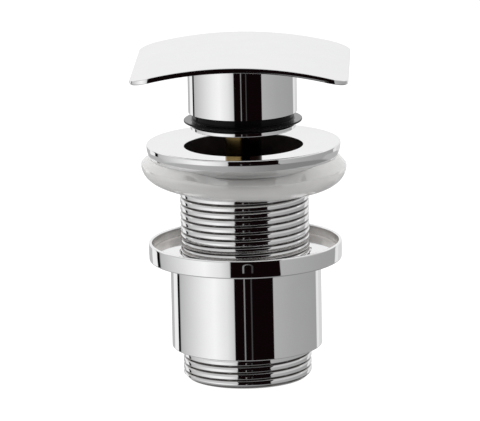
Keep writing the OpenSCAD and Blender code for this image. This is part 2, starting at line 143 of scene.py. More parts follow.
# Flange seal
SEAL_CREASE = FLANGE_FOOT - 1.2 * MM
CREASE_ROUND = 0.35 * MM
SEAL_FOOT_R = SOCKET_R + 2.65 * MM
SEAL_SAG = math.radians(1.4)                # the soft seal sits a little askew under the flange
SEAL_GAP = 0.03 * MM                        # clearance between the seal's lip and the flange
SEAL_LIP = (0.15 * MM, 1.95 * MM)           # height of the lip on the flange, in front and at the sides
SEAL_LIFT = (0.6 * MM, 0.3 * MM)            # how much higher the crease and the foot are round the sides
LIP_STEPS = 3                               # steps down the lip's inside
LIP_LOW = math.radians(9)                   # azimuth where the lip is lowest, to the right of the front
LIP_RISE = (math.radians(17), math.radians(44))  # turns from there between which it rises

# Plug
NECK_R = 15.735 * MM
NECK_GAP = 0.02 * MM
RUBBER_R = NECK_R + 0.87 * MM
RUBBER_ROUND = 0.15 * MM
LIP_BOTTOM = RUBBER_BOTTOM + 1.15 * MM
LIP_TOP = RUBBER_BOTTOM + 1.75 * MM
LIP_ROUND = 0.2 * MM
LIP_ROOT_ROUND = 0.3 * MM
HEIGHT_DIGITS = 9                           # decimals to which heights are compared
RETAINER_WALL = 1.9 * MM
RETAINER_HOLE_R = SLEEVE_R + 0.5 * MM
RETAINER_ROUND = 0.25 * MM
ARCH_R = 127 * MM
COVER_T = 1.65 * MM
COVER_CORNER_R = 6.8 * MM
COVER_COLUMNS = 48                          # steps along the cover between its corners
COVER_EDGE = 0.3 * MM                       # radius of the cover's upper edges
COVER_LOW_EDGE = 0.1 * MM                   # radius of the lower edges
COVER_END_EDGE = 1.1 * MM                   # radius of the lower edges round the ends
COVER_SUPPORT = 0.3 * MM                    # stretch beside them over which the shading turns
EDGE_STEPS = 6
EDGE_LEAN = math.radians(2)                 # lean of the cover's polished edges
COVER_TILT = math.radians(0.7)              # the cover sits this far out of level, to the right
COVER_SETTLE = 0.01 * MM                    # keeps the tilted cover's top at its height

# Return spring
WIRE_R = 0.4 * MM
WIRE_SIDES = 12
SPRING_TURNS = 5.5
TURN_STEPS = 36
CLOSED_RISE = 0.92 * MM                     # rise of each closed end turn

# Places of the two bodies' materials
PLAIN, THREADED, BORE, CUP = range(4)


def arc(centre, size, start, end, steps=CURVE_STEPS):
    """Points along part of an ellipse in the plane of radius and height, between two angles in degrees."""
    angles = [math.radians(start + (end - start) * i / steps) for i in range(steps + 1)]
    return [(centre[0] + size[0] * math.cos(a), centre[1] + size[1] * math.sin(a)) for a in angles]


def rounded(corners):
    """Points of an open outline. A corner with a third number is rounded by that radius."""
    points = []
    for i, corner in enumerate(corners):
        here = Vector(corner[:2])
        if len(corner) == 2:
            points.append(tuple(here))
            continue
        before = (Vector(corners[i - 1][:2]) - here).normalized()
        after = (Vector(corners[i + 1][:2]) - here).normalized()
        half = before.angle(after) / 2
        reach = corner[2] / math.tan(half)
        centre = here + (before + after).normalized() * corner[2] / math.sin(half)
        start = here + before * reach
        end = here + after * reach
        points.append(tuple(start + before * SUPPORT))
        for step in range(ROUND_STEPS + 1):
            turn = (start - centre).slerp(end - centre, step / ROUND_STEPS)
            points.append(tuple(centre + turn * corner[2]))
        points.append(tuple(end + after * SUPPORT))
    return points


def thread_rows(bottom, top, bevel, run_out):
    """Points (radius limit, height, depth of cut) up a thread with a bevelled start and a fading end."""
    count = round((top - bottom) / THREAD_PITCH * THREAD_ROWS)
    rows = []
    for i in range(count + 1):
        height = bottom + (top - bottom) * i / count
        limit = THREAD_R - max(0, bevel - (height - bottom))
        rows.append((limit, height, THREAD_DEPTH * min(1, (top - height) / run_out)))
    return rows


def smooth_share(share):
    """A share from 0 to 1 that starts and ends level."""
    return share ** 2 * (3 - 2 * share)


def outline_radius(point, angle):
    """Radius of an outline point at an angle. A third number is the depth of a right-hand thread."""
    if len(point) == 2:
        return point[0]
    turn = TAU * (point[1] / THREAD_PITCH) - angle
    power = GROOVE_POWERS[0] if math.sin(turn) > 0 else GROOVE_POWERS[1]
    share = ((1 - math.cos(turn)) / 2) ** power
    notch = ((1 - math.cos(turn - NOTCH_TURN)) / 2) ** NOTCH_POWER
    return min(point[0], THREAD_R - point[2] * (share + NOTCH_SHARE * notch))


def turned(outline, finishes=()):
    """A mesh turned from a closed outline. A finish (point, material index) holds from its point on."""
    mesh = bpy.data.meshes.new("turned")
    size = len(outline)
    verts = []
    for i in range(SPIN):
        angle = TAU * i / SPIN
        for point in outline:
            r = outline_radius(point, angle)
            verts.append((r * math.cos(angle), r * math.sin(angle), point[1]))
    faces = []
    for i in range(SPIN):
        k = (i + 1) % SPIN
        for j in range(size):
            n = (j + 1) % size
            faces.append((i * size + j, k * size + j, k * size + n, i * size + n))
    mesh.from_pydata(verts, [], faces)
    indices = [0] * size
    for start, index in finishes:
        indices[start:] = [index] * (size - start)
    mesh.polygons.foreach_set("material_index", indices * SPIN)
    return mesh


def add_piece(name, mesh, body, slot, stands_for, *materials):
    """Makes a shaded object of a mesh that rides a body and stands for a CAD node."""
    mesh.name = name
    for material in materials:
        mesh.materials.append(material)
    mesh.shade_smooth()
    mesh.set_sharp_from_angle(angle=SHARP_ANGLE)
    piece = bpy.data.objects.new(name, mesh)
    bpy.context.scene.collection.objects.link(piece)
    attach(piece, body)
    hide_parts(stands_for)
    return piece


MIX_A, MIX_B, MIX_RESULT = 6, 7, 2          # a mix node's sockets for colours


class Graph:
    """Short calls that build a node tree."""

    def __init__(self, tree):
        self.tree = tree
        tree.nodes.clear()

    def add(self, kind, inputs=(), **settings):
        """A new node. Inputs are pairs of a socket's name or number and a value or another node's output."""
        made = self.tree.nodes.new(kind)
        for name, value in settings.items():
            setattr(made, name, value)
        for socket, value in inputs:
            if isinstance(value, bpy.types.NodeSocket):
                self.tree.links.new(value, made.inputs[socket])
            else:
                made.inputs[socket].default_value = value
        return made

    def math(self, operation, *values):
        """Output of a math node."""
        return self.add("ShaderNodeMath", enumerate(values), operation=operation).outputs[0]

    def length(self, a, b):
        """Length of the long side of a triangle with two square sides."""
        return self.math("SQRT", self.math("ADD", self.math("POWER", a, 2.0), self.math("POWER", b, 2.0)))

    def step(self, value, start, end):
        """0 to 1 as a value goes from one limit to the other."""
        inputs = enumerate((value, start, end))
        return self.add("ShaderNodeMapRange", inputs, interpolation_type="SMOOTHSTEP").outputs[0]

    def between(self, value, low, high, soft):
        """1 where a value lies between two limits, with soft edges, and 0 elsewhere."""
        rise = self.step(value, low - soft, low + soft)
        fall = self.step(value, high + soft, high - soft)
        return self.math("MULTIPLY", rise, fall)

    def mix(self, factor, a, b):
        """Colour a at factor 0 and b at factor 1."""
        inputs = (0, factor), (MIX_A, a), (MIX_B, b)
        return self.add("ShaderNodeMix", inputs, data_type="RGBA").outputs[MIX_RESULT]

    def ramp(self, factor, stops):
        """Colour along a ramp of (place, colour) stops."""
        made = self.add("ShaderNodeValToRGB", (("Fac", factor),))
        elements = made.color_ramp.elements
        while len(elements) < len(stops):
            elements.new(0.5)
        for element, (place, colour) in zip(elements, stops):
            element.position = place
            element.color = colour
        return made.outputs[0]

    def noise(self, vector, size, detail):
        """Noise with patches of a size in metres."""
        inputs = ("Vector", vector), ("Scale", 1 / size), ("Detail", detail)
        return self.add("ShaderNodeTexNoise", inputs).outputs[0]

    def axes(self, vector):
        """The three numbers of a vector."""
        return self.add("ShaderNodeSeparateXYZ", ((0, vector),)).outputs


def grey(level):
    """Linear colour of an even grey that shows as a level from 0 to 1 on screen, by the sRGB curve."""
    linear = level / 12.92 if level <= 0.04045 else ((level + 0.055) / 1.055) ** 2.4
    return (linear, linear, linear, 1)


PATCH_DETAIL, GRAIN_DETAIL = 3, 2
GRAIN_SHARE = 0.5                           # how much of the roughness follows the grain
NOISE_SPAN = (0.3, 0.7)                     # values between which most of a noise lies
SIDE_SHADE = (-1.2 * MM, 0.2 * MM)             # sideways places between which painted shade turns the stem black


def surface(
    name, light, dark, metallic, rough, patch, grain, bump, stretch=(1, 1, 1), painted_shade=None, **uniform
):
    """A material whose colour and roughness drift over patches and whose surface has a fine grain.

    light and dark are linear colours, and rough is the lowest and highest roughness. patch and grain
    are sizes and bump is the height of the grain, in metres. Painted shade is a dark colour and a call
    that says, for a place on the object, how far it covers. Uniform values go on the shader's own sockets.
    """
    made = bpy.data.materials.new(name)
    made.use_nodes = True
    g = Graph(made.node_tree)
    place = g.add("ShaderNodeTexCoord").outputs["Object"]
    stretched = g.add("ShaderNodeMapping", (("Vector", place), ("Scale", stretch))).outputs[0]
    patches = g.noise(stretched, patch, PATCH_DETAIL)
    grains = g.noise(stretched, grain, GRAIN_DETAIL)
    colour = g.ramp(patches, ((NOISE_SPAN[0], (*dark, 1)), (NOISE_SPAN[1], (*light, 1))))
    # Painted shade: the colour turns darker where the call covers.
    if painted_shade:
        colour = g.mix(painted_shade[1](g, place), colour, (*painted_shade[0], 1))
    both = g.math("MULTIPLY_ADD", grains, GRAIN_SHARE, g.math("MULTIPLY", patches, 1 - GRAIN_SHARE))
    roughness = g.add("ShaderNodeMapRange", enumerate((both, *NOISE_SPAN, *rough))).outputs[0]
    normal = g.add("ShaderNodeBump", (("Height", grains), ("Distance", bump))).outputs[0]
    shader = g.add("ShaderNodeBsdfPrincipled", (
        ("Base Color", colour), ("Roughness", roughness), ("Normal", normal), ("Metallic", metallic),
        *uniform.items(),
    ))
    g.add("ShaderNodeOutputMaterial", (("Surface", shader.outputs[0]),))
    return made


def groove_shade_share(g, place):
    """0 on a thread's crests, to 1 on the lower side of each ridge, where shade is painted dark."""
    x, y, z = g.axes(place)
    turn = g.math("MULTIPLY_ADD", z, TAU / THREAD_PITCH, -GROOVE_LINE)
    turn = g.math("SUBTRACT", turn, g.math("ARCTAN2", y, x))
    limits = [math.cos(share * GROOVE_HALF) for share in GROOVE_SOFT]
    line = g.step(g.math("COSINE", turn), *limits)
    deep = g.step(g.length(x, y), THREAD_R - GROOVE_DEEP[0], THREAD_R - GROOVE_DEEP[1])
    return g.math("MULTIPLY", line, deep)


def side_shade_share(g, place):
    """0 on the stem's left side, to 1 on its right side, where shade is painted black."""
    x, _, _ = g.axes(place)
    return g.step(x, *SIDE_SHADE)


chrome = surface(
    "chrome", light=(0.95, 0.95, 0.955), dark=(0.93, 0.93, 0.935), metallic=1, rough=(0.015, 0.045),
    patch=9 * MM, grain=2.5 * MM, bump=0.0004 * MM,
)
# Chrome with painted shade along the lower side of each thread ridge.
threaded_chrome = surface(
    "threaded_chrome", light=(0.95, 0.95, 0.955), dark=(0.91, 0.91, 0.915), metallic=1, rough=(0.03, 0.08),
    patch=6 * MM, grain=1.2 * MM, bump=0.0004 * MM, painted_shade=((0.26, 0.25, 0.245), groove_shade_share),
)
dull_nickel = surface(
    "dull_nickel", light=(0.62, 0.6, 0.58), dark=(0.5, 0.48, 0.46), metallic=1, rough=(0.16, 0.26),
    patch=6 * MM, grain=0.8 * MM, bump=0.003 * MM,
)
# Near-black colour that paints the shade inside the mouth, the bores and the bridge.
bore_painted_dark = surface(
    "bore_painted_dark", light=(0.05, 0.035, 0.032), dark=(0.025, 0.018, 0.017), metallic=0.6, rough=(0.35, 0.5),
    patch=5 * MM, grain=0.8 * MM, bump=0.01 * MM,
)
brass = surface(
    "brass", light=(0.36, 0.25, 0.09), dark=(0.28, 0.19, 0.065), metallic=1, rough=(0.1, 0.2),
    patch=4 * MM, grain=0.35 * MM, bump=0.002 * MM, stretch=(0.2, 0.2, 3),
)
# Brass stem with painted shade that blackens its right side.
stem_brass = surface(
    "stem_brass", light=(0.36, 0.25, 0.1), dark=(0.24, 0.17, 0.06), metallic=1, rough=(0.14, 0.26),
    patch=3 * MM, grain=0.35 * MM, bump=0.002 * MM, stretch=(0.2, 0.2, 3),
    painted_shade=((0.012, 0.006, 0.005), side_shade_share),
)
steel = surface(
    "steel", light=(0.62, 0.62, 0.63), dark=(0.52, 0.52, 0.53), metallic=1, rough=(0.18, 0.32),
    patch=3 * MM, grain=0.3 * MM, bump=0.002 * MM, stretch=(0.3, 0.3, 2),
)
rubber = surface(
    "black_rubber", light=(0.006, 0.005, 0.005), dark=(0.003, 0.0025, 0.0025), metallic=0,
    rough=(0.07, 0.13), patch=5 * MM, grain=0.5 * MM, bump=0.002 * MM, IOR=1.2,
)
lip_rubber = surface(
    "glossy_rubber", light=(0.012, 0.01, 0.01), dark=(0.006, 0.005, 0.005), metallic=0, rough=(0.04, 0.09),
    patch=5 * MM, grain=0.5 * MM, bump=0.001 * MM, IOR=1.75,
)
silicone = surface(
    "grey_silicone", light=(0.59, 0.585, 0.575), dark=(0.53, 0.525, 0.515), metallic=0, rough=(0.035, 0.07),
    patch=12 * MM, grain=0.6 * MM, bump=0.0006 * MM,
    **{"Subsurface Weight": 0.15, "Subsurface Radius": (0.004, 0.004, 0.0038), "Subsurface Scale": 0.3,
       "Specular IOR Level": 1, "Coat Weight": 1, "Coat Roughness": 0.06},
)
plastic = surface(
    "white_plastic", light=(0.82, 0.81, 0.78), dark=(0.76, 0.75, 0.72), metallic=0, rough=(0.3, 0.42),
    patch=4 * MM, grain=0.4 * MM, bump=0.006 * MM,
)


def make_flanged_body():
    """Flange, threaded tail and mouth, with the bridge that holds the cartridge."""
    rows = thread_rows(TAIL_END, FLANGE_FOOT, TAIL_BEVEL, TAIL_RUN_OUT)
    under = arc(UNDER_CENTRE, (UNDER_R, UNDER_R), -math.degrees(FOOT_LEAN), -math.degrees(RIM_LEAN))
    top = rounded([
        (RIM_FOOT_R, RIM_BOTTOM + SUPPORT),
        (FLANGE_R, FLANGE_TOP, FLANGE_ROUND),
        (MOUTH_R, MOUTH_TOP, MOUTH_ROUND),
        (MOUTH_R, MOUTH_BOTTOM),
    ])
    bore = [(TAIL_BORE_R, MOUTH_BOTTOM - (MOUTH_R - TAIL_BORE_R)), (TAIL_BORE_R, TAIL_END)]
    outside = rows + under + top
    mesh = turned(outside + bore, ((0, THREADED), (len(rows), PLAIN), (len(outside) - 2, BORE)))
    add_bridge(mesh, BORE)
    materials = chrome, threaded_chrome, bore_painted_dark
    add_piece("flange_and_tail", mesh, "waste_body", "chrome", "flanged_body", *materials)


def add_bridge(mesh, material_index):
    """Adds the hub and its arms to the flanged body's mesh."""
    hub = turned(rounded([
        (STUD_R, BRIDGE_TOP),
        (STUD_R, BRIDGE_BOTTOM),
        (HUB_R, BRIDGE_BOTTOM, HUB_ROUND),
        (HUB_R, BRIDGE_TOP, HUB_ROUND),
        (STUD_R, BRIDGE_TOP),
    ])[:-1])
    work = bmesh.new()
    work.from_mesh(hub)
    inner = (STUD_R + HUB_R) / 2
    outer = (TAIL_BORE_R + THREAD_R) / 2 - THREAD_DEPTH / 2
    for i in range(ARM_COUNT):
        turn = Quaternion((0, 0, 1), TAU * (i + 0.5) / ARM_COUNT)
        made = bmesh.ops.create_cube(work, size=1)["verts"]
        for v in made:
            along = inner + (v.co.x + 0.5) * (outer - inner)
            height = BRIDGE_BOTTOM + (v.co.z + 0.5) * (BRIDGE_TOP - BRIDGE_BOTTOM)
            v.co = turn @ Vector((along, v.co.y * ARM_W, height))
        edges = {e for v in made for e in v.link_edges}
        bmesh.ops.bevel(
            work, geom=list(edges), offset=ARM_ROUND, segments=ARM_STEPS, affect="EDGES", profile=0.5
        )
    for face in work.faces:
        face.material_index = material_index
    work.from_mesh(mesh)
    work.to_mesh(mesh)
    work.free()
    bpy.data.meshes.remove(hub)


def make_lower_body():
    """Threaded outlet, plain body and cupped collar."""
    rows = thread_rows(OUTLET_END, BODY_BOTTOM, OUTLET_BEVEL, OUTLET_RUN_OUT)
    edge_r = COLLAR_R - COLLAR_BULGE
    cup_r = COLLAR_R - CUP_WALL
    wall_top = CUP_RIM - CUP_WALL / 2
    wall_bottom = COLLAR_BOTTOM + COLLAR_ROUND + 2 * SUPPORT
    body = rounded([
        (THREAD_R, BODY_BOTTOM),
        (BODY_R, BODY_BOTTOM, BODY_ROUND),
        (BODY_R, COLLAR_BOTTOM, COLLAR_ROOT_ROUND),
        (edge_r, COLLAR_BOTTOM, COLLAR_ROUND),
        (edge_r, wall_bottom),
    ])[1:]
    wall = []
    for i in range(1, CURVE_STEPS):
        share = i / CURVE_STEPS
        bulge = 4 * COLLAR_BULGE * share * (1 - share)
        wall.append((edge_r + bulge, wall_bottom + (wall_top - wall_bottom) * share))
    rim_centre = ((edge_r + cup_r) / 2, wall_top)
    rim = arc(rim_centre, ((edge_r - cup_r) / 2, CUP_RIM - wall_top), 0, 2 * QUARTER, 2 * ROUND_STEPS)
    cup = rounded([
        rim[-1],
        (cup_r, CUP_FLOOR, CUP_ROUND),
        (SOCKET_R + SOCKET_BEVEL, CUP_FLOOR),
        (SOCKET_R, CUP_FLOOR - SOCKET_BEVEL),
    ])[1:]
    socket = [
        (SOCKET_R, RING_TOP + RING_SLACK),
        (SOCKET_R + RING_GROOVE, RING_TOP + RING_SLACK),
        (SOCKET_R + RING_GROOVE, RING_BOTTOM - RING_SLACK),
        (SOCKET_R, RING_BOTTOM - RING_SLACK),
        (SOCKET_R, LEDGE),
        (THREAD_R - OUTLET_WALL, LEDGE),
        (THREAD_R - OUTLET_WALL, OUTLET_END),
    ]
    outside = rows + body + wall + rim
    cup_floor = len(outside) + ROUND_STEPS + 2
    socket_top = len(outside) + len(cup) - 1
    finishes = [(0, THREADED), (len(rows) - 1, PLAIN), (len(outside) - 1, CUP)]
    finishes += [(cup_floor, PLAIN), (socket_top, BORE)]
    mesh = turned(outside + cup + socket, finishes)
    materials = chrome, threaded_chrome, bore_painted_dark, dull_nickel
    add_piece("outlet_and_collar", mesh, "lower", "chrome", "lower_body", *materials)


def underside_radius(height):
    """Radius of the flange's curved underside at a height."""
    return UNDER_CENTRE[0] + math.sqrt(UNDER_R ** 2 - (height - UNDER_CENTRE[1]) ** 2)


def seal_outline(rise, drop):
    """Outline of the flange seal where its lip rises by a share and its flank drops by a length."""
    crease = SEAL_CREASE + SEAL_LIFT[0] * rise - drop
    foot = SEAL_FOOT + SEAL_LIFT[1] * rise - drop
    lip = SEAL_LIP[0] + (SEAL_LIP[1] - SEAL_LIP[0]) * rise
    inside = []
    for i in range(LIP_STEPS + 1):
        height = FLANGE_FOOT + lip * (1 - i / LIP_STEPS)
        inside.append((underside_radius(height) + SEAL_GAP, height))
    flank_top = crease - CREASE_ROUND
    flank = arc((SEAL_FOOT_R, flank_top), (SEAL_R - SEAL_FOOT_R, flank_top - foot), -QUARTER, 0)
    shoulder = rounded([flank[-1], (SEAL_R, crease, CREASE_ROUND), inside[0]])[1:]
    return [(SOCKET_R, foot)] + flank + shoulder + inside[1:] + [(SOCKET_R, FLANGE_FOOT)]


def make_flange_seal():
    """Soft seal with a bowl-shaped flank, a rounded crease and a lip that climbs the flange's sides."""
    mesh = turned(seal_outline(1, 0))
    size = len(mesh.vertices) // SPIN
    for i in range(SPIN):
        angle = TAU * i / SPIN
        turn = abs(math.remainder(angle - FRONT - LIP_LOW, TAU))
        share = min(1, max(0, (turn - LIP_RISE[0]) / (LIP_RISE[1] - LIP_RISE[0])))
        rise = smooth_share(share)
        drop = SEAL_R * math.cos(angle) * math.tan(SEAL_SAG)
        for j, (r, height) in enumerate(seal_outline(rise, drop)):
            mesh.vertices[i * size + j].co = (r * math.cos(angle), r * math.sin(angle), height)
    add_piece("soft_flange_seal", mesh, "waste_body", "grey_silicone", "flange_seal", silicone)


def make_plug_seal():
    """Rubber seal with a thin lip."""
    outline = rounded([
        (NECK_R, RUBBER_BOTTOM),
        (RUBBER_R, RUBBER_BOTTOM, RUBBER_ROUND),
        (RUBBER_R, LIP_BOTTOM, LIP_ROOT_ROUND),
        (LIP_R, LIP_BOTTOM, LIP_ROUND),
        (LIP_R, LIP_TOP, LIP_ROUND),
        (RUBBER_R, LIP_TOP, LIP_ROOT_ROUND),
        (RUBBER_R, PLUG_BOTTOM, RUBBER_ROUND),
        (NECK_R, PLUG_BOTTOM),
    ])
    heights = [round(height - LIP_TOP, HEIGHT_DIGITS) for _, height in outline]
    lip_top = heights.index(0)
    lip_root = len(heights) - 1 - heights[::-1].index(0)
    mesh = turned(outline, ((lip_top, 1), (lip_root, 0)))
    add_piece("rubber_lip", mesh, "plug", "black_rubber", "plug_lip_seal", rubber, lip_rubber)


def make_retainer():
    """Flanged ring under the rubber, with its neck inside the plug."""
    inner = NECK_R - RETAINER_WALL
    mesh = turned(rounded([
        (RETAINER_HOLE_R, RETAINER_BOTTOM),
        (RETAINER_R, RETAINER_BOTTOM, RETAINER_ROUND),
        (RETAINER_R, RUBBER_BOTTOM, RETAINER_ROUND),
        (NECK_R - NECK_GAP, RUBBER_BOTTOM),
        (NECK_R - NECK_GAP, NECK_TOP),
        (inner, NECK_TOP),
        (inner, RUBBER_BOTTOM, RETAINER_ROUND),
        (RETAINER_HOLE_R, RUBBER_BOTTOM),
    ]))
    add_piece("retainer_ring", mesh, "plug", "chrome", "seal_retainer", chrome)


def cover_stations():
    """Half of the cover's outline from above, left to right: centres, directions and end shares."""
    across, deep = COVER_HIGH.x - COVER_CORNER_R, COVER_HIGH.y - COVER_CORNER_R
    stations = []
    for i in range(CURVE_STEPS + 1):
        turn = math.radians(QUARTER * i / CURVE_STEPS)
        share = smooth_share(1 - i / CURVE_STEPS)
        stations.append((-across, deep, -math.cos(turn), math.sin(turn), share))
    for i in range(1, COVER_COLUMNS):
        stations.append((-across + 2 * across * i / COVER_COLUMNS, deep, 0, 1, 0))
    for x, y, side, ahead, share in reversed(stations[:CURVE_STEPS + 1]):
        stations.append((-x, y, -side, ahead, share))
    return stations


def cover_levels(share):
    """The cover's edge from its top to its underside, as insets and depths; share is 1 at the ends."""
    below = COVER_LOW_EDGE + (COVER_END_EDGE - COVER_LOW_EDGE) * share
    levels = [(COVER_EDGE + COVER_SUPPORT, 0)]
    for i in range(EDGE_STEPS + 1):
        turn = math.radians(QUARTER * i / EDGE_STEPS)
        levels.append((COVER_EDGE * (1 - math.sin(turn)), COVER_EDGE * (1 - math.cos(turn))))
    for i in range(EDGE_STEPS + 1):
        turn = math.radians(QUARTER * i / EDGE_STEPS)
        levels.append((below * (1 - math.cos(turn)), COVER_T - below * (1 - math.sin(turn))))
    levels.append((below + COVER_SUPPORT, COVER_T))
    return levels


def make_cover():
    """Arched cover with round corners and rounded edges, broader ones below its ends."""
    centre_z = COVER_HIGH.z - ARCH_R - COVER_SETTLE
    work = bmesh.new()
    columns = []
    for x, y, side, ahead, share in cover_stations():
        column = []
        for inset, depth in cover_levels(share):
            reach = COVER_CORNER_R - inset - (COVER_T - depth) * math.tan(EDGE_LEAN)
            px, py = x + side * reach, y + ahead * reach
            z = centre_z + math.sqrt((ARCH_R - depth) ** 2 - px ** 2) - px * math.tan(COVER_TILT)
            column.append((work.verts.new((px, -py, z)), work.verts.new((px, py, z))))
        columns.append(column)
    for here, ahead in zip(columns, columns[1:]):
        for level in (0, -1):
            work.faces.new((*here[level], *reversed(ahead[level])))
        for i in range(len(here) - 1):
            for face in (0, 1):
                work.faces.new((here[i][face], here[i + 1][face], ahead[i + 1][face], ahead[i][face]))
    for column in (columns[0], columns[-1]):
        for upper, lower in zip(column, column[1:]):
            work.faces.new((*upper, *reversed(lower)))
    bmesh.ops.recalc_face_normals(work, faces=work.faces[:])
    mesh = bpy.data.meshes.new("cover")
    work.to_mesh(mesh)
    work.free()
    add_piece("arched_cover", mesh, "plug", "chrome", "cover_plate", chrome)


def make_spring():
    """Compression spring with closed ends."""
    coil_r = SPRING_R - WIRE_R
    open_count = SPRING_TURNS - 2
    rise = (SPRING_TOP - SPRING_BOTTOM - 2 * WIRE_R - 2 * CLOSED_RISE) / open_count
    count = round(SPRING_TURNS * TURN_STEPS)
    verts, faces = [], []
    for i in range(count + 1):
        turn = i / TURN_STEPS
        open_turns = min(max(turn - 1, 0), open_count)
        middle = SPRING_BOTTOM + WIRE_R + CLOSED_RISE * (turn - open_turns) + rise * open_turns
        for j in range(WIRE_SIDES):
            side = TAU * j / WIRE_SIDES
            r = coil_r + WIRE_R * math.cos(side)
            height = middle + WIRE_R * math.sin(side)
            verts.append((r * math.cos(TAU * turn), r * math.sin(TAU * turn), height))
    for i in range(count):
        here, ahead = i * WIRE_SIDES, (i + 1) * WIRE_SIDES
        for j in range(WIRE_SIDES):
            n = (j + 1) % WIRE_SIDES
            faces.append((here + j, ahead + j, ahead + n, here + n))
    faces.append(tuple(range(WIRE_SIDES)))
    faces.append(tuple(count * WIRE_SIDES + j for j in reversed(range(WIRE_SIDES))))
    mesh = bpy.data.meshes.new("spring")
    mesh.from_pydata(verts, [], faces)
    piece = add_piece("coil_spring", mesh, "waste_body", "steel", "return_spring", steel)
    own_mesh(piece)


CAD_FINISHES = {
    "plug_body": chrome,
    "plug_lock_nut": brass,
    "plunger_rod": steel,
    "drum_clip": steel,
    "track_drum": plastic,
    "spring_washer": steel,
    "guide_bush": brass,
    "rod_ring": rubber,
    "track_pin": steel,
    "cartridge_sleeve": stem_brass,
    "cartridge_washer": steel,
    "cartridge_nut": brass,
    "socket_ring": plastic,
}


def dress_cad_nodes():
    """Gives each CAD node that still shows its material."""
    for name, material in CAD_FINISHES.items():
        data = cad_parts[name].data
        data.materials.clear()
        data.materials.append(material)


# Studio that the metal reflects. Azimuths and elevations are degrees, azimuths from the front to the
# right, and levels are screen greys.
FULL_TURN = 360
FRONT_PLACE = 0.5                           # where the front lies on the ramp of cards
BACKDROP = (1, 1, 1, 1)                     # what the camera sees behind the object
BLACK, WHITE = 0.03, 0.95
CARD_STOPS = (
    (-180, WHITE), (-130.7, WHITE), (-129.7, BLACK), (-122.8, BLACK),
    (-121.8, 0.72), (-95, 0.83), (-64, 0.95), (-49, 0.985), (-29, 0.91), (-21, 0.83), (-17.3, 0.78),
    (-16.3, BLACK), (41.3, BLACK),
    (42.3, 0.69), (80, 0.65), (135.5, 0.62), (136.5, 0.90), (180, WHITE),
)
CARD_TOP = (0, 4)                           # elevations between which the cards end, below a grey gap
GAP_END = (140, 135)                        # azimuths, to both sides, between which the gap begins
GAP_LEVEL = 0.78
OVERHEAD = (34, 44)                         # elevations between which the white ceiling begins
ZENITH = (58, 86)                           # elevations between which the ceiling turns grey
ZENITH_LEVEL = 0.66
FLAG_LEFT, FLAG_RIGHT = -0.281, 0.66        # sideways reach of the black flag, as direction cosines
FLAG_EDGE = 0.006
FLAG_COLOUR = (0.004, 0.0016, 0.002, 1)
FLAG_TOPS = (-0.8, 0.84)                    # slopes at which it ends above, for soft and mirror surfaces
FLAG_FADE = (0.15, -0.15)                   # how softly it ends there
CARD_LOW = (-30, -26)                       # elevations between which the flag and the cards begin
SLIT_AZIMUTH, SLIT_HALF = 3.6, 5.3          # middle and half width of the arch-shaped slit in the black flag
SLIT_TOP = -10.3                            # elevation where the slit's sides turn into its flat arch
SLIT_SQUEEZE = 2.65                         # how much flatter the arch is than a half circle
SLIT_LINE = 1.3                             # half thickness of the slit's pale outline
SLIT_LEVELS = (0.5, 0.25)                   # greys of the slit's left and right sides
SOFTBOX = (112, 150)                        # azimuths, to both sides, of the softboxes behind
SOFTBOX_TOP = (14, 62)                      # their elevations
SOFTBOX_EDGE = 0.5
SOFTBOX_LIGHT = (2, 2, 2, 1)                # their light on soft surfaces
SOFTBOX_LEVEL = 0.97                        # their grey in mirror surfaces
SIDE_LOW = (-15.2, -16.2)                   # elevations between which the slit and the far cards end
SIDE_FAR = (116, 122)                       # azimuths, to both sides, where a grey lower edge begins
SIDE_LEVEL = 0.70
REAR_EDGE = (147, 190)                      # greys behind, below the horizon, which outline round walls
REAR_SOFT = 1.5
REAR_SIDES = (-1, 1)                        # azimuths between which the left grey turns into the right
REAR_LEVELS = (0.73, 0.85)
REAR_TOP = (-4, -6)
TABLE_LEVELS = (0.68, 0.52)                 # greys of the table's left and right
TABLE_TURN = (-0.9, 0.7)                    # sideways directions between which it turns
STUDIO_TURN = math.radians(0.8)             # the studio is turned this far to the right


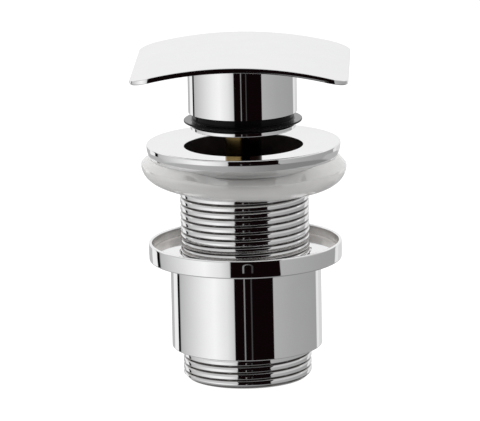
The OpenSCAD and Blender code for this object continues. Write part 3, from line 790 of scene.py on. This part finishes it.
def make_world():
    """White for the camera, and the studio's cards for the light on the object and in its mirrors."""
    world = bpy.data.worlds.new("studio")
    bpy.context.scene.world = world
    world.use_nodes = True
    g = Graph(world.node_tree)
    path = g.add("ShaderNodeLightPath").outputs
    mirror = path["Is Glossy Ray"]
    straight = g.add("ShaderNodeTexCoord").outputs["Generated"]
    inputs = ("Vector", straight), ("Rotation", (0, 0, -STUDIO_TURN))
    x, y, z = g.axes(g.add("ShaderNodeMapping", inputs).outputs[0])
    azimuth = g.math("DEGREES", g.math("ARCTAN2", x, g.math("MULTIPLY", y, -1.0)))
    elevation = g.math("DEGREES", g.math("ARCSINE", z))
    behind = g.math("ABSOLUTE", azimuth)
    turn = g.math("MULTIPLY_ADD", azimuth, 1 / FULL_TURN, FRONT_PLACE)
    cards = g.ramp(turn, [(FRONT_PLACE + place / FULL_TURN, grey(level)) for place, level in CARD_STOPS])
    gap = g.math("MULTIPLY", g.step(elevation, *CARD_TOP), g.step(behind, *GAP_END))
    sky = g.mix(gap, cards, grey(GAP_LEVEL))
    sky = g.mix(g.step(elevation, *OVERHEAD), sky, grey(WHITE))
    sky = g.mix(g.step(elevation, *ZENITH), sky, grey(ZENITH_LEVEL))
    beside = g.between(behind, *SOFTBOX, SOFTBOX_EDGE)
    box = g.math("MULTIPLY", beside, g.between(elevation, *SOFTBOX_TOP, SOFTBOX_EDGE))
    sky = g.mix(box, sky, g.mix(mirror, SOFTBOX_LIGHT, grey(SOFTBOX_LEVEL)))
    top = g.math("MULTIPLY_ADD", mirror, FLAG_TOPS[1] - FLAG_TOPS[0], FLAG_TOPS[0])
    over = g.math("MULTIPLY_ADD", z, top, y)
    flag = g.math("MULTIPLY", g.between(x, FLAG_LEFT, FLAG_RIGHT, FLAG_EDGE), g.step(over, *FLAG_FADE))
    sky = g.mix(flag, sky, FLAG_COLOUR)
    below = g.step(elevation, *REAR_TOP)
    rear = g.mix(g.step(azimuth, *REAR_SIDES), grey(REAR_LEVELS[0]), grey(REAR_LEVELS[1]))
    sky = g.mix(g.math("MULTIPLY", below, g.between(behind, *REAR_EDGE, REAR_SOFT)), sky, rear)
    aside = g.math("SUBTRACT", azimuth, SLIT_AZIMUTH)
    above = g.math("MULTIPLY", g.math("MAXIMUM", g.math("SUBTRACT", elevation, SLIT_TOP), 0.0), SLIT_SQUEEZE)
    away = g.math("ABSOLUTE", g.math("SUBTRACT", g.length(aside, above), SLIT_HALF))
    pale = g.mix(g.step(aside, -SLIT_HALF, SLIT_HALF), grey(SLIT_LEVELS[0]), grey(SLIT_LEVELS[1]))
    low = g.step(elevation, *SIDE_LOW)
    line = g.math("MULTIPLY", g.step(away, SLIT_LINE, SLIT_LINE / 2), g.math("SUBTRACT", 1.0, low))
    sky = g.mix(line, sky, pale)
    sky = g.mix(g.math("MULTIPLY", low, g.step(behind, *SIDE_FAR)), sky, grey(SIDE_LEVEL))
    table = g.mix(g.step(x, *TABLE_TURN), grey(TABLE_LEVELS[0]), grey(TABLE_LEVELS[1]))
    sky = g.mix(g.step(elevation, *CARD_LOW), table, sky)
    seen = g.math("MAXIMUM", path["Is Camera Ray"], path["Is Transmission Ray"])
    plain = g.mix(seen, sky, BACKDROP)
    colour = g.mix(mirror, plain, sky)
    background = g.add("ShaderNodeBackground", (("Color", colour), ("Strength", 1)))
    g.add("ShaderNodeOutputWorld", (("Surface", background.outputs[0]),))


FLOOR_SIZE = 3.0
FLOOR_GLOW = 0.9                            # what the camera sees of the floor beside its reflected light
FLOOR_BOUNCE = 0.7                          # what soft surfaces get from it in the same way
FLOOR_COLOUR = (0.28, 0.28, 0.28, 1)


def make_floor():
    """Pale floor that shows white to the camera and keeps a faint shadow."""
    mesh = bpy.data.meshes.new("floor")
    corners = [(x * FLOOR_SIZE, y * FLOOR_SIZE, 0) for x, y in ((-1, -1), (1, -1), (1, 1), (-1, 1))]
    mesh.from_pydata(corners, [], [(0, 1, 2, 3)])
    floor = bpy.data.objects.new("floor", mesh)
    bpy.context.scene.collection.objects.link(floor)
    floor.visible_glossy = False
    made = bpy.data.materials.new("floor")
    made.use_nodes = True
    g = Graph(made.node_tree)
    seen = g.add("ShaderNodeLightPath").outputs["Is Camera Ray"]
    glow = g.math("MULTIPLY_ADD", seen, FLOOR_GLOW - FLOOR_BOUNCE, FLOOR_BOUNCE)
    white = g.add("ShaderNodeEmission", (("Strength", glow),))
    soft = g.add("ShaderNodeBsdfDiffuse", (("Color", FLOOR_COLOUR),))
    both = g.add("ShaderNodeAddShader", ((0, white.outputs[0]), (1, soft.outputs[0])))
    g.add("ShaderNodeOutputMaterial", (("Surface", both.outputs[0]),))
    mesh.materials.append(made)


LAMP_TARGET = Vector((0, 0, 0.06))
LAMP_SIZE = 0.5
LAMP_SIDE, LAMP_BACK, LAMP_UP = 0.75, 0.1, 0.45
LAMP_POWER = 4.5


def add_lamp(name, place, power):
    """A square area lamp that faces the object."""
    light = bpy.data.lights.new(name, "AREA")
    light.size = LAMP_SIZE
    light.energy = power
    lamp = bpy.data.objects.new(name, light)
    lamp.location = place
    lamp.rotation_euler = (LAMP_TARGET - lamp.location).to_track_quat("-Z", "Y").to_euler()
    lamp.visible_glossy = False
    bpy.context.scene.collection.objects.link(lamp)


# Camera, from the photograph's frame of 480 by 421 pixels
IMAGE_W, IMAGE_H = 480, 421
FOCAL_PX = 4150                             # focal length in pixels of that frame
AXIS_PX = (244.8, 212.3)                    # where the axis at the target's height lands
TARGET_Z = 54.1 * MM
DISTANCE = 1318 * MM
PITCH = math.radians(12.35)
AZIMUTH = math.radians(2.3)
ROLL = math.radians(-1.17)
SENSOR = 36                                 # millimetres


def make_camera():
    """Camera that sees the object as the photograph does."""
    data = bpy.data.cameras.new("camera")
    data.sensor_width = SENSOR
    data.lens = FOCAL_PX * SENSOR / IMAGE_W
    camera = bpy.data.objects.new("camera", data)
    target = Vector((0, 0, TARGET_Z))
    camera.location = target + DISTANCE * Vector((math.sin(AZIMUTH), -math.cos(AZIMUTH), math.tan(PITCH)))
    sight = target - camera.location
    level = sight.to_track_quat("-Z", "Y")
    scale = sight.length / FOCAL_PX
    across = (IMAGE_W / 2 - AXIS_PX[0]) * scale
    up = (AXIS_PX[1] - IMAGE_H / 2) * scale
    aim = target + level @ Vector((across, up, 0)) - camera.location
    camera.rotation_euler = (aim.to_track_quat("-Z", "Y") @ Quaternion((0, 0, 1), ROLL)).to_euler()
    bpy.context.scene.collection.objects.link(camera)
    bpy.context.scene.camera = camera


make_flanged_body()
make_lower_body()
make_flange_seal()
make_plug_seal()
make_retainer()
make_cover()
make_spring()
dress_cad_nodes()
make_world()
make_floor()
add_lamp("left lamp", (-LAMP_SIDE, LAMP_BACK, LAMP_UP), LAMP_POWER)
add_lamp("right lamp", (LAMP_SIDE, LAMP_BACK, LAMP_UP), LAMP_POWER)
make_camera()
bpy.context.scene.view_settings.view_transform = "Standard"
